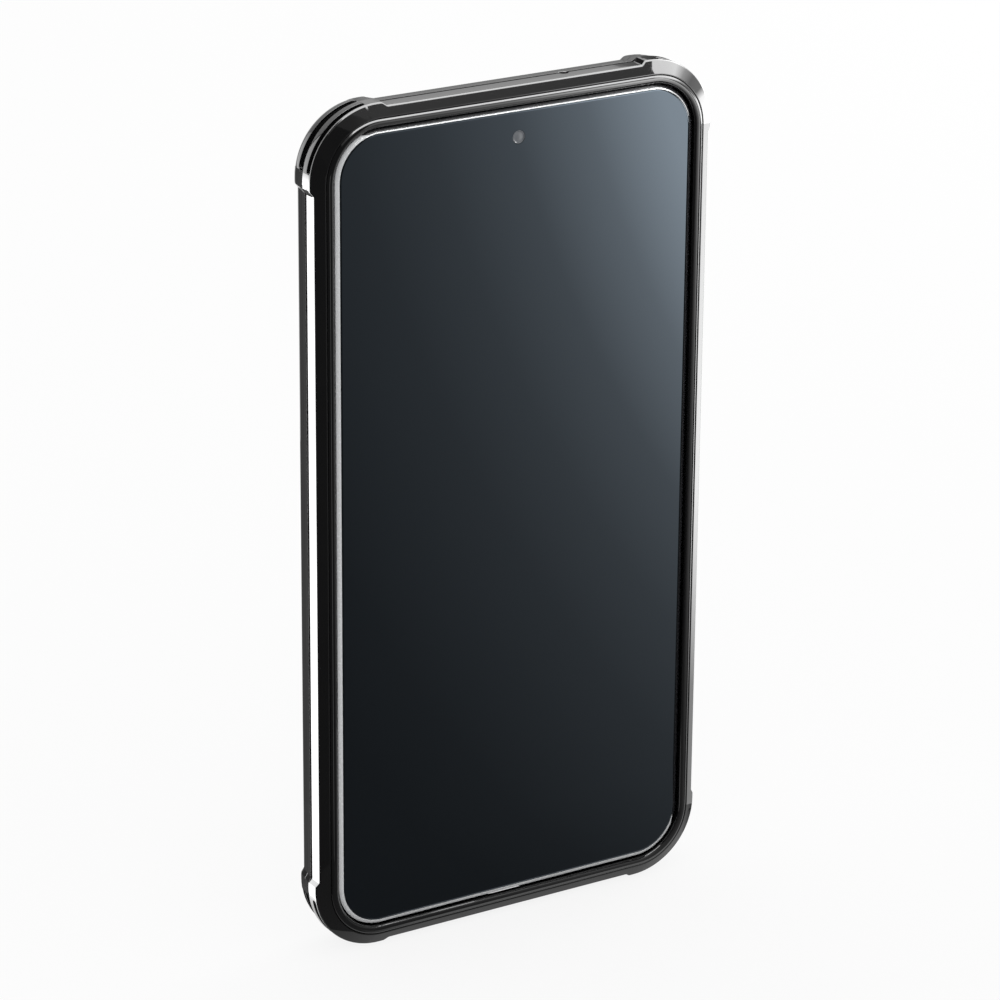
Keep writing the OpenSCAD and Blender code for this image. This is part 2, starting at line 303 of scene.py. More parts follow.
# the band's polished front edge; its reach is cut back at the top and it is left out on the right as
# painted shade, where those sides of the rim look darker under the lights
rimPolishAndShade = dict(reach=0.47, topShadeCut=0.33, topStart=150, topStartDrop=7.5, rightShadeStart=34.5, metallic=0.15)
blackBand = Finish("blackBand")
rightHalf = blackBand.along("X") > 0.0
topShadeZone = blackBand.along("Z") > rimPolishAndShade["topStart"] * mm - rightHalf * (rimPolishAndShade["topStartDrop"] * mm)
rightShadeZone = blackBand.along("X") > rimPolishAndShade["rightShadeStart"] * mm
rimReachLessShade = rimPolishAndShade["reach"] - (topShadeZone * rimPolishAndShade["topShadeCut"]).calc("MAXIMUM", rightShadeZone * rimPolishAndShade["reach"])
polishAndShadeMask = blackBand.along("Y") < (rimReachLessShade + (flat["depthShift"] - handset["glass"])) * mm
# silver inside the mask; the black left on the top and right rim is painted shade, not a different
# finish
blackBand.set(
    baseColor=blackBand.mix(polishAndShadeMask, (0.012, 0.012, 0.014), (0.88, 0.89, 0.9)),
    metallic=polishAndShadeMask * rimPolishAndShade["metallic"],
    roughness=blackBand.spread(blackBand.noise(2400.0, 4.0), 0.25, 0.29),
)

blackKey = plainFinish(
    "blackKey", shades=[(0.01, 0.01, 0.012), (0.018, 0.018, 0.02)], shadeNoise=(500.0, 2.0),
    rough=(0.28, 0.4), roughNoise=(2400.0, 4.0),
)
screenGlass = plainFinish(
    "screenGlass", shades=[(0.0012, 0.0015, 0.002), (0.002, 0.0024, 0.003)], shadeNoise=(30.0, 2.0),
    rough=(0.01, 0.03), roughNoise=(300.0, 2.0), ior=1.5, specularTint=(0.68, 0.84, 1.0),
)
darkDisplay = plainFinish(
    "darkDisplay", shades=[(0.0035, 0.004, 0.006), (0.006, 0.0065, 0.009)], shadeNoise=(400.0, 2.0),
    rough=(0.18, 0.26), roughNoise=(1500.0, 2.0),
)
# the lens's light grey base colour is a painted reflection of its coated glass
frontLensSheen = plainFinish(
    "frontLensSheen", shades=[(0.055, 0.062, 0.072), (0.085, 0.095, 0.11)], shadeNoise=(900.0, 2.0),
    rough=(0.1, 0.2), roughNoise=(1500.0, 2.0), ior=1.6,
)
lensGlass = plainFinish(
    "lensGlass", shades=[(0.004, 0.006, 0.02), (0.012, 0.01, 0.03)], shadeNoise=(800.0, 2.0),
    rough=(0.02, 0.06), roughNoise=(900.0, 2.0), ior=1.6,
)
lensGlass.set(coatWeight=lensGlass.spread(lensGlass.noise(300.0), 0.8, 1.0))
coverGlass = plainFinish(
    "coverGlass", shades=[(0.8, 0.84, 0.95), (0.9, 0.92, 0.98)], shadeNoise=(500.0, 2.0),
    rough=(0.0, 0.02), roughNoise=(900.0, 2.0), transmissionWeight=1.0, ior=1.5,
)
rearGlass = plainFinish(
    "rearGlass", shades=[(0.012, 0.012, 0.014), (0.02, 0.02, 0.023)], shadeNoise=(1200.0, 5.0),
    rough=(0.3, 0.42), roughNoise=(3000.0, 3.0), coatWeight=1.0, coatRoughness=0.06,
)
islandBlack = plainFinish(
    "islandBlack", shades=[(0.02, 0.02, 0.022), (0.032, 0.032, 0.035)], shadeNoise=(1500.0, 4.0),
    rough=(0.35, 0.5), roughNoise=(3500.0, 3.0), metallic=0.6,
)
turnedMetal = plainFinish(
    "turnedMetal", shades=[(0.2, 0.2, 0.21), (0.3, 0.3, 0.32)], shadeNoise=(2500.0, 2.0),
    rough=(0.16, 0.3), roughNoise=(5000.0, 2.0), metallic=1.0,
)
flashPlastic = plainFinish(
    "flashPlastic", shades=[(0.9, 0.86, 0.68), (0.97, 0.95, 0.86)], shadeNoise=(900.0, 2.0),
    rough=(0.15, 0.3), roughNoise=(2000.0, 2.0), subsurfaceWeight=0.2, subsurfaceScale=0.001,
)
socketSteel = plainFinish(
    "socketSteel", shades=[(0.4, 0.4, 0.42), (0.55, 0.55, 0.57)], shadeNoise=(1800.0, 2.0),
    rough=(0.22, 0.38), roughNoise=(4000.0, 2.0), metallic=1.0,
)


# the glossy frame, swept round the handset

rails = dict(
    floor=1.5, top=9.9, parting=5.6, pocket=0.3, edgeSteps=4,
    bead=0.775, beadRise=0.78, beadSteps=18, dip=0.12,
    shelf=9.5, shelfEdge=2.05, ridge=0.1, ridgeEdge=0.04,
    chamferDrop=0.95, wall=3.65, wallEdge=0.26, bulge=0.02, fall=0.5,
    seamWidth=0.3, seamDepth=0.55, seamThin=0.3, seamFloor=0.8, seamEdge=0.03,
    rear=2.6, rearSteps=10, flange=-2.2, footEdge=0.08, rebate=-1.0, rebateEdge=0.06,
)
bumpers = dict(
    proud=0.6, run=0.9, steps=40,
    ramp=0.95, ease=0.12, rampHigh=0.93, rampLow=0.07, rampSeam=0.8, plainHalf=0.4,
    grooveWidth=1.1, groovePitch=2.75, grooveForward=0.25, grooveDepth=1.1, grooveInset=11,
    rearGroove=(1.6, 2.4), tipShares=(0.03, 0.15, 0.35, 0.65), wallDraft=0.12, lip=0.06, lipShare=0.45,
    ribDrop=0.06, ribEdge=0.6,
)


def softPath(corners, steps):
    # corners are (outwards, height, setback): each is eased over its setback
    path = []
    for i, (d, z, setback) in enumerate(corners):
        if setback == 0:
            path.append((d, z))
            continue
        here = Vector((d, z))
        before = Vector(corners[i - 1][:2])
        after = Vector(corners[(i + 1) % len(corners)][:2])
        start = here + (before - here).normalized() * setback
        end = here + (after - here).normalized() * setback
        for step in range(steps + 1):
            u = step / steps
            p = start * (1 - u) ** 2 + here * 2 * u * (1 - u) + end * u ** 2
            path.append((p.x, p.y))
    return path


def frameSection(out, groove, seam):
    # groove is (share of its depth, half width), seam is the share of the parting line's depth
    shelf, shelfEdge, part, rear = (rails[key] for key in ("shelf", "shelfEdge", "parting", "rear"))
    bead, beadRise = rails["bead"], rails["beadRise"]
    beadD = rails["pocket"] + bead
    beadZ = rails["top"] - beadRise
    wallD = rails["wall"] + out
    wallZ = shelf - rails["chamferDrop"] * (wallD - shelfEdge) / (rails["wall"] - shelfEdge)
    partD = rails["wall"] + rails["bulge"] + out
    grooveMid = part + bumpers["grooveForward"]
    frontGroove = grooveMid + bumpers["groovePitch"] / 2
    rearGroove = grooveMid - bumpers["groovePitch"] / 2
    frontRib = wallZ - frontGroove - bumpers["grooveWidth"] / 2
    ribDrop = bumpers["ribDrop"] * groove[0]
    rearD = partD - rails["fall"] - ribDrop

    def frontAt(z):
        return partD + (wallD - partD) * (z - part) / (wallZ - part)

    def rearAt(z):
        return partD - rails["fall"] * (part - z) / (part - rear) - (ribDrop if z < rearGroove else 0)

    def grooveAt(z, line, spread=(1, 1)):
        # spread widens the front and the rear half of a groove
        half = groove[1]
        draft = half * 2 * bumpers["wallDraft"] / bumpers["grooveWidth"]
        depth = bumpers["grooveDepth"] * groove[0]
        edge = min(bumpers["lip"], draft * bumpers["lipShare"])
        high, low = z + half * spread[0], z - half * spread[1]
        return [
            (line(high), high, edge), (line(high - draft) - depth, high - draft, edge),
            (line(low) - depth, low + draft, edge), (line(low), low, edge),
        ]

    # the bead, from the pocket's floor up and over to the shelf
    corners = [(rails["pocket"], rails["floor"], rails["footEdge"])]
    beadEnd = math.degrees(math.asin((shelf - rails["dip"] - beadZ) / beadRise))
    for step in range(rails["beadSteps"] + 1):
        turn = math.radians(180 + (beadEnd - 180) * step / rails["beadSteps"])
        corners.append((beadD + bead * math.cos(turn), beadZ + beadRise * math.sin(turn), 0))

    # the shelf, the chamfer and the wall with its grooves and parting line
    corners += [
        (shelfEdge - rails["ridge"], shelf, rails["ridgeEdge"]), (shelfEdge, shelf, rails["ridgeEdge"]),
        (wallD, wallZ, min(rails["wallEdge"], frontRib * bumpers["ribEdge"])),
    ]
    corners += grooveAt(frontGroove, frontAt)
    wide = rails["seamWidth"] * (rails["seamThin"] + (1 - rails["seamThin"]) * seam)
    narrow = wide * rails["seamFloor"]
    deep = rails["seamDepth"] * seam
    corners += [
        (frontAt(part + wide), part + wide, rails["seamEdge"]), (partD - deep, part + narrow, 0),
        (partD - deep, part - narrow, 0), (rearAt(part - wide), part - wide, rails["seamEdge"]),
    ]
    corners += grooveAt(rearGroove, rearAt, bumpers["rearGroove"])

    # the round rear edge and the rebate that holds the plate
    for step in range(rails["rearSteps"] + 1):
        turn = math.radians(-90 * step / rails["rearSteps"])
        corners.append((rearD - rear + rear * math.cos(turn), rear + rear * math.sin(turn), 0))
    half = rails["floor"] / 2
    corners += [
        (rails["flange"], 0, rails["footEdge"]), (rails["flange"], half, 0), (rails["rebate"], half, 0),
        (rails["rebate"], rails["floor"], rails["rebateEdge"]),
    ]
    return softPath(corners, rails["edgeSteps"])


def grooveTurns():
    # angle, share of depth and half width of the grooves through one corner, with round ends
    half, inset, steps = bumpers["grooveWidth"] / 2, bumpers["grooveInset"], bumpers["steps"]
    radius = handset["corner"] + rails["wall"] + rails["bulge"] + bumpers["proud"]
    reach = math.degrees(half / radius)
    tip = inset - reach
    tips = [(share, half * math.sqrt(1 - (1 - share) ** 2)) for share in bumpers["tipShares"]]
    start = [(0, 0, half), (tip / 2, 0, half / 2), (tip, 0, tips[0][1])]
    start += [(tip + share * reach, 1, width) for share, width in tips]
    inner = 90 - 2 * inset
    through = [(inset + inner * i / steps, 1, half) for i in range(steps + 1)]
    return start + through + [(90 - turn, depth, width) for turn, depth, width in reversed(start)]


def frameRings():
    rings = []

    def ring(baseX, baseY, turn, out, groove, seam):
        c, s = math.cos(turn), math.sin(turn)
        section = frameSection(out, groove, seam)
        rings.append([stand(baseX + d * c, baseY + d * s, z) for d, z in section])

    proud, run, ramp, ease = (bumpers[key] for key in ("proud", "run", "ramp", "ease"))
    radius = handset["corner"]
    plain = (0, bumpers["plainHalf"])
    # distance from the corner's end, how proud, share of the parting line
    ramps = [
        (run - ease, proud, 0), (run + ease, proud * bumpers["rampHigh"], 0),
        (run + ramp - ease, proud * bumpers["rampLow"], bumpers["rampSeam"]), (run + ramp + ease, 0, 1),
    ]
    for corner in range(4):
        midX, midY = cornerMid(corner)
        for degrees, depth, width in grooveTurns():
            turn = math.radians(90 * corner + degrees)
            baseX, baseY = midX + radius * math.cos(turn), midY + radius * math.sin(turn)
            ring(baseX, baseY, turn, proud, (depth, width), 0)
        turn = math.radians(90 * (corner + 1))
        endX, endY = midX + radius * math.cos(turn), midY + radius * math.sin(turn)
        length = (handset["width"] if corner % 2 == 0 else handset["height"]) - 2 * radius
        farRamps = [(length - along, out, seam) for along, out, seam in reversed(ramps)]
        for along, out, seam in ramps + farRamps:
            ring(endX - along * math.sin(turn), endY + along * math.cos(turn), turn, out, plain, seam)
    return rings


keys = dict(
    volumeLength=20, volumeY=34, powerLength=10, powerY=10, width=2.4,
    proud=0.22, stem=1.6, travel=0.3, gap=0.2, pad=0.12,
    margin=1.0, flangeWidth=0.6, flangeThick=0.5, coverProud=0.5,
    coverEdge=[(0, 0.45), (0.04, 0.25), (0.14, 0.1), (0.3, 0.02), (0.5, 0)],
    keyEdge=[(0, 0.2), (0.05, 0.07), (0.2, 0)],
)
keySpans = [(keys["volumeLength"], keys["volumeY"]), (keys["powerLength"], keys["powerY"])]
flangeTop = rails["pocket"] + keys["travel"] + handset["bond"] + keys["flangeThick"]
bottom = dict(
    portWidth=13, portHeight=5.8, flareStart=0.25, flareRun=0.5, flare=0.4,
    speakerX=17, speakerWidth=12, speakerHeight=2.6, holes=6, hole=1.2, micX=-12, mic=1.6, depth=1.5,
)
topMic = dict(x=11, sink=[(-0.2, 0.06), (0.02, 0.22)], steps=32)


def keyBar(bm, length, midY, levels):
    # key-shaped pill that runs out through the right side; levels are (growth, distance out)
    edge = handset["width"] / 2
    rings = []
    for grow, d in levels:
        outline = pillLoop(length, keys["width"], grow)
        rings.append([stand(edge + d, midY + u, middle + v) for u, v in outline])
    loft(bm, rings)


def makeFrame():
    bm = bmesh.new()
    loft(bm, frameRings(), closed=True)
    obj = toObject("bumperFrame", bm)
    tool = bmesh.new()
    far = rails["wall"] + bumpers["proud"] + 2 * past
    grow = keys["margin"] + keys["gap"]
    wide = grow + keys["flangeWidth"]
    seat = flangeTop + handset["bond"]
    for length, midY in keySpans:
        keyBar(tool, length, midY, [(wide, 0), (wide, seat), (grow, seat), (grow, far)])
    mouth, flare = rails["wall"] - bottom["flareStart"], bottom["flare"]
    for midX, width, height in (
        (0, bottom["portWidth"], bottom["portHeight"]),
        (bottom["speakerX"], bottom["speakerWidth"], bottom["speakerHeight"]),
        (bottom["micX"], bottom["mic"], bottom["mic"]),
    ):
        levels = [(0, -past), (0, mouth), (flare, mouth + bottom["flareRun"]), (flare, far)]
        bottomBar(tool, midX, width, height, levels)
    skin = rails["wall"] + rails["bulge"]
    sink = [(skin + d, wider) for d, wider in topMic["sink"]]
    rings = []
    for d, wider in [(0, 0), *sink, (far, sink[-1][1])]:
        hole = circleLoop(bottom["mic"] / 2 + wider, topMic["steps"])
        midY = handset["height"] / 2 + d
        rings.append([stand(topMic["x"] + x, midY, rails["parting"] + y) for x, y in hole])
    loft(tool, rings)
    carve(obj, tool)
    finishPiece(obj, "case", glossBlack, ["bumper_frame"], sharp=24)


print("sweeping the frame")
makeFrame()


# the back plate with its camera window

island = dict(
    width=18, height=37, margin=5.5, proud=1.7, edge=[(0.5, 0), (0.22, 0.05), (0.06, 0.2), (0, 0.5)],
    ringRadius=6.5, ringWidth=1.1, ringProud=0.4, pitch=14.4, seat=0.9, flash=2.2,
)
island["x"] = handset["width"] / 2 - island["margin"] - island["width"] / 2
island["y"] = handset["height"] / 2 - island["margin"] - island["height"] / 2
island["face"] = handset["rear"] - island["proud"]
island["lensY"] = island["y"] + island["height"] / 2 - island["width"] / 2
# the flash sits midway between the lower lens ring and the island's end
flashSpan = (
    -island["height"] / 2 + island["lensY"] - island["y"] - island["pitch"] - island["ringRadius"]
)
island["flashY"] = island["y"] + flashSpan / 2
lensPlaces = [island["lensY"], island["lensY"] - island["pitch"]]
plate = dict(
    gap=0.5, edge=0.08, rimWidth=1.6, rimHeight=0.8, rimInside=0.5,
    rimEdge=[(0.04, 0.4), (0.16, 0.16), (0.4, 0.03), (0.6, 0)],
    windowEdge=[(-0.45, -0.001), (-0.15, 0.06), (0, 0.3)],
)


def islandSlab(bm, levels):
    # levels are (growth of the island's outline, height)
    rings = []
    for grow, z in levels:
        outline = pillLoop(island["width"], island["height"], grow)
        rings.append([stand(island["x"] + x, island["y"] + y, z) for x, y in outline])
    loft(bm, rings)


def makePlate():
    bond, floor, edge, gap = handset["bond"], rails["floor"], plate["edge"], plate["gap"]
    outer, inner = rails["flange"] - bond, rails["rebate"] - bond
    step = floor / 2 + bond
    bm = bmesh.new()
    slab(bm, [
        (outer - edge, 0), (outer, edge), (outer, step),
        (inner, step), (inner, floor - edge), (inner - edge, floor),
    ])
    obj = toObject("backPlate", bm)
    low = -plate["rimHeight"]
    outside = gap + plate["rimWidth"]
    rimEdge = easedEdge(outside, low, 1, plate["rimEdge"])
    rim = bmesh.new()
    islandSlab(rim, [(outside, floor / 2), (outside, 0), *rimEdge, (gap + plate["rimInside"], low)])
    carve(obj, rim, "UNION")
    windowEdge = easedEdge(gap, low, 1, plate["windowEdge"])
    window = bmesh.new()
    islandSlab(window, [(windowEdge[0][0], low - past), *windowEdge, (gap, floor + past)])
    carve(obj, window)
    finishPiece(obj, "case", satinBlack, ["back_plate"])


print("making the back plate")
makePlate()


# key covers and keys


def makeCover(name, node, body, length, midY):
    top = rails["wall"] + rails["bulge"] + keys["coverProud"]
    grow = keys["margin"]
    wide = grow + keys["flangeWidth"]
    low = flangeTop - keys["flangeThick"]
    pad = keys["proud"] + keys["pad"]
    foot = [(0, pad), (0, low), (wide, low), (wide, flangeTop), (grow, flangeTop)]
    bm = bmesh.new()
    keyBar(bm, length, midY, foot + easedEdge(grow, top, -1, keys["coverEdge"]))
    finishPiece(toObject(name, bm), body, glossBlack, [node])


def makeKey(name, node, body, length, midY):
    bm = bmesh.new()
    keyBar(bm, length, midY, [(0, -keys["stem"])] + easedEdge(0, keys["proud"], -1, keys["keyEdge"]))
    finishPiece(toObject(name, bm), body, blackKey, [node])


print("making the keys")
makeCover("volumeCover", "volume_key_cover", "volume_cover", *keySpans[0])
makeCover("powerCover", "power_key_cover", "power_cover", *keySpans[1])
makeKey("volumeKey", "volume_key", "handset_volume", *keySpans[0])
makeKey("powerKey", "power_key", "handset_power", *keySpans[1])


# the handset

shell = dict(
    glassThick=0.7, glassBack=0.05, displayThick=0.5, bezel=1.9,
    glassEdge=[(0, 0.2), (0.02, 0.12), (0.07, 0.05), (0.16, 0.012), (0.3, 0)],
    cover=0.7, coverEdge=[(0.3, 0), (0.12, 0.02), (0.03, 0.08), (0, 0.2)],
    rimDrop=0.45, rimEase=0.04, bandEdge=0.12, bandShares=[(1, 0.45), (0.4, -0.1), (0, -1)],
    socketWidth=9, socketHeight=3.2, socketDepth=6,
)
shell["seat"] = handset["glass"] - shell["glassThick"] - handset["bond"]
eye = dict(
    drop=4.5, radius=1.2, depth=1.4, window=1.23, windowSteps=64,
    edge=[(0, 0.09), (0.04, 0.04), (0.16, 0.04), (0.26, 0.11)],
    bowl=[(0.74, 0.12), (0.5, 0.085), (0.28, 0.065), (0.08, 0.06)],
)
eye["y"] = handset["height"] / 2 - handset["rim"] - eye["drop"]


def makeHandsetFrame():
    bond, rim, front, rear = (handset[key] for key in ("bond", "rim", "glass", "rear"))
    drop, ease, band, seat = (shell[key] for key in ("rimDrop", "rimEase", "bandEdge", "seat"))
    well = seat - shell["displayThick"] - bond
    lip = bond - rim
    inner = lip - shell["bezel"]
    back = rear + shell["cover"] + bond
    shares = shell["bandShares"]
    bandFront = [(-band * inset, front - drop + band * rise) for inset, rise in shares]
    bandRear = [(-band * inset, rear + drop - band * rise) for inset, rise in reversed(shares)]
    bm = bmesh.new()
    slab(bm, [
        (inner, well), (inner, seat), (lip, seat), (lip, front - ease), (lip + ease, front - ease / 2),
        *bandFront, *bandRear, (lip + ease, rear + ease / 2), (lip, rear + ease), (lip, back),
    ])
    obj = toObject("handsetFrame", bm)
    tool = bmesh.new()
    keyDepth = keys["stem"] + keys["travel"] + keys["gap"]
    for length, midY in keySpans:
        keyBar(tool, length, midY, [(keys["gap"], -keyDepth), (keys["gap"], past)])
    socketLevels = [(bond, -shell["socketDepth"] - bond), (bond, past)]
    bottomBar(tool, 0, shell["socketWidth"], shell["socketHeight"], socketLevels)
    holeLevels = [(0, -bottom["depth"]), (0, past)]
    count = bottom["holes"]
    for i in range(count):
        midX = bottom["speakerX"] + (i - (count - 1) / 2) * bottom["speakerWidth"] / count
        bottomBar(tool, midX, bottom["hole"], bottom["hole"], holeLevels)
    bottomBar(tool, bottom["micX"], bottom["mic"], bottom["mic"], holeLevels)
    radius = eye["radius"] + bond
    turned(tool, 0, eye["y"], [(radius, seat - eye["depth"] - bond), (radius, seat)])
    carve(obj, tool)
    finishPiece(obj, "handset", blackBand, ["handset_frame"])


def makeFrontGlass():
    rim, front, ease = handset["rim"], handset["glass"], shell["glassBack"]
    back = front - shell["glassThick"]
    bm = bmesh.new()
    slab(bm, [(-rim - ease, back), (-rim, back + ease)] + easedEdge(-rim, front, -1, shell["glassEdge"]))
    obj = toObject("frontGlass", bm)
    tool = bmesh.new()
    levels = [(eye["window"], front - 2 * past), (eye["window"], front + past)]
    turned(tool, 0, eye["y"], levels, eye["windowSteps"])
    carve(obj, tool)
    finishPiece(obj, "handset", screenGlass, ["front_glass"])


def makeFrontCamera():
    front, radius = handset["glass"], eye["radius"]
    profile = [(radius, shell["seat"] - eye["depth"])] + easedEdge(radius, front, -1, eye["edge"])
    profile += [(inner, front - depth) for inner, depth in eye["bowl"]]
    bm = bmesh.new()
    turned(bm, 0, eye["y"], profile)
    finishPiece(toObject("frontCamera", bm), "handset", frontLensSheen, ["front_camera"])


def makeRearCover():
    bond, rim, rear = handset["bond"], handset["rim"], handset["rear"]
    bm = bmesh.new()
    slab(bm, easedEdge(-rim, rear, 1, shell["coverEdge"]) + [(-rim, rear + shell["cover"])])
    obj = toObject("rearCover", bm)
    tool = bmesh.new()
    islandSlab(tool, [(bond, rear - past), (bond, rear + 2 * past)])
    carve(obj, tool)
    finishPiece(obj, "handset", rearGlass, ["rear_cover"])


def makeIsland():
    bond, face = handset["bond"], island["face"]
    bm = bmesh.new()
    back = handset["rear"] + shell["cover"] + bond
    islandSlab(bm, easedEdge(0, face, 1, island["edge"]) + [(0, back)])
    obj = toObject("cameraIsland", bm)
    tool = bmesh.new()
    seats = [(midY, island["ringRadius"] + bond) for midY in lensPlaces]
    seats.append((island["flashY"], island["flash"] + bond))
    for midY, radius in seats:
        turned(tool, island["x"], midY, [(radius, face - past), (radius, face + island["seat"] + bond)])
    carve(obj, tool)
    finishPiece(obj, "handset", islandBlack, ["camera_island"])


lenses = dict(
    ringEdge=[(0, 0.18), (0.05, 0.06), (0.18, 0)], ringBevel=[(0.45, 0), (0.35, 0.03)], ringLip=0.05,
    coverBack=0.25, coverEdge=0.06, coverMiddle=0.5, barrelFront=0.3,
    barrel=[
        (4.5, 0.3), (4.4, 0.42), (3.9, 0.42), (3.8, 0.55), (3.1, 0.55),
        (3.0, 0.68), (2.5, 0.66), (1.8, 0.52), (1.0, 0.42), (0.3, 0.39),
    ],
)


def makeLenses():
    face, outer, edge = island["face"], island["ringRadius"], lenses["coverEdge"]
    inner = outer - island["ringWidth"]
    lens = inner - handset["bond"]
    top = face - island["ringProud"]
    seat = face + island["seat"]
    ring = [(inner, seat), (outer, seat)] + easedEdge(outer, top, 1, lenses["ringEdge"])
    ring += [(inner + out, top + depth) for out, depth in lenses["ringBevel"]]
    ring.append((inner, face - lenses["ringLip"]))
    cover = [(lens, face + lenses["coverBack"]), (lens, face + edge), (lens - edge, face)]
    cover.append((lenses["coverMiddle"], face))
    barrel = [(lens, seat), (lens, face + lenses["barrelFront"])]
    barrel += [(radius, face + depth) for radius, depth in lenses["barrel"]]
    rings, covers, barrels = bmesh.new(), bmesh.new(), bmesh.new()
    for midY in lensPlaces:
        turned(rings, island["x"], midY, ring, closed=True)
        turned(covers, island["x"], midY, cover)
        turned(barrels, island["x"], midY, barrel)
    finishPiece(toObject("lensRings", rings), "handset", turnedMetal, ["lens_rings"])
    finishPiece(toObject("lensBarrels", barrels), "handset", lensGlass, ["rear_lenses"])
    finishPiece(toObject("lensCovers", covers), "handset", coverGlass)


flash = dict(edge=0.05, pitch=0.3, land=0.22, cut=0.07, last=0.4, middle=0.1)


def makeFlash():
    face, radius = island["face"], island["flash"]
    profile = [(radius, face + island["seat"]), (radius, face + flash["edge"])]
    radius -= flash["edge"]
    while radius > flash["last"]:
        profile += [(radius, face), (radius - flash["land"], face + flash["cut"])]
        radius -= flash["pitch"]
    profile.append((flash["middle"], face))
    bm = bmesh.new()
    turned(bm, island["x"], island["flashY"], profile)
    finishPiece(toObject("flashLens", bm), "handset", flashPlastic, ["flash_lens"])


print("making the handset")
makeHandsetFrame()
makeFrontGlass()
makeFrontCamera()
makeRearCover()
makeIsland()
makeLenses()
makeFlash()
for node, finish in (("display_panel", darkDisplay), ("usb_socket", socketSteel)):
    nodes[node].data.materials.clear()
    nodes[node].data.materials.append(finish.material)


# camera, floor and light

shot = dict(
    yaw=31.35, pitch=21.04, roll=0.46, across=-2.67, up=1.97, distance=765.8,
    focal=4.379, sensor=36, clip=0.05,
)


def makeCamera():
    yaw, pitch, roll = (math.radians(shot[key]) for key in ("yaw", "pitch", "roll"))
    look = Vector((math.sin(yaw) * math.cos(pitch), math.cos(yaw) * math.cos(pitch), -math.sin(pitch)))
    level = Vector((math.cos(yaw), -math.sin(yaw), 0))
    rise = level.cross(look)
    right = level * math.cos(roll) + rise * math.sin(roll)
    over = rise * math.cos(roll) - level * math.sin(roll)
    aim = stand(0, 0, handset["glass"])
    spot = aim + (right * shot["across"] + over * shot["up"] - look * shot["distance"]) * mm
    data = bpy.data.cameras.new("camera")
    data.sensor_width = shot["sensor"]
    data.lens = shot["sensor"] * shot["focal"]
    data.clip_start = shot["clip"]
    camera = bpy.data.objects.new("camera", data)
    matrix = Matrix((right, over, -look)).transposed().to_4x4()
    matrix.translation = spot
    camera.matrix_world = matrix
    scene.collection.objects.link(camera)
    scene.camera = camera


studio = dict(floorSize=6.0, floorGlow=0.86, world=0.85)


def makeFloor():
    bm = bmesh.new()
    half = studio["floorSize"] / 2
    signs = ((-1, -1), (1, -1), (1, 1), (-1, 1))
    bm.faces.new([bm.verts.new((x * half, y * half, 0)) for x, y in signs])
    floor = toObject("floor", bm)
    paper = Finish("paper", baseColor=(0.9, 0.9, 0.9), roughness=0.9, specularIORLevel=0.0)
    rays = ("Is Camera Ray", "Is Glossy Ray", "Is Transmission Ray")
    seen, mirrored, through = (paper.node("ShaderNodeLightPath", out=ray) for ray in rays)
    share = (seen + mirrored + through).calc("MINIMUM", 1.0) * studio["floorGlow"]
    plain = Wire(paper, paper.shader.outputs[0])
    glow = paper.node("ShaderNodeEmission", None, {"Color": (1, 1, 1), "Strength": 1.0})
    paper.surface(paper.node("ShaderNodeMixShader", None, {0: share, 1: plain, 2: glow}))
    floor.data.materials.append(paper.material)


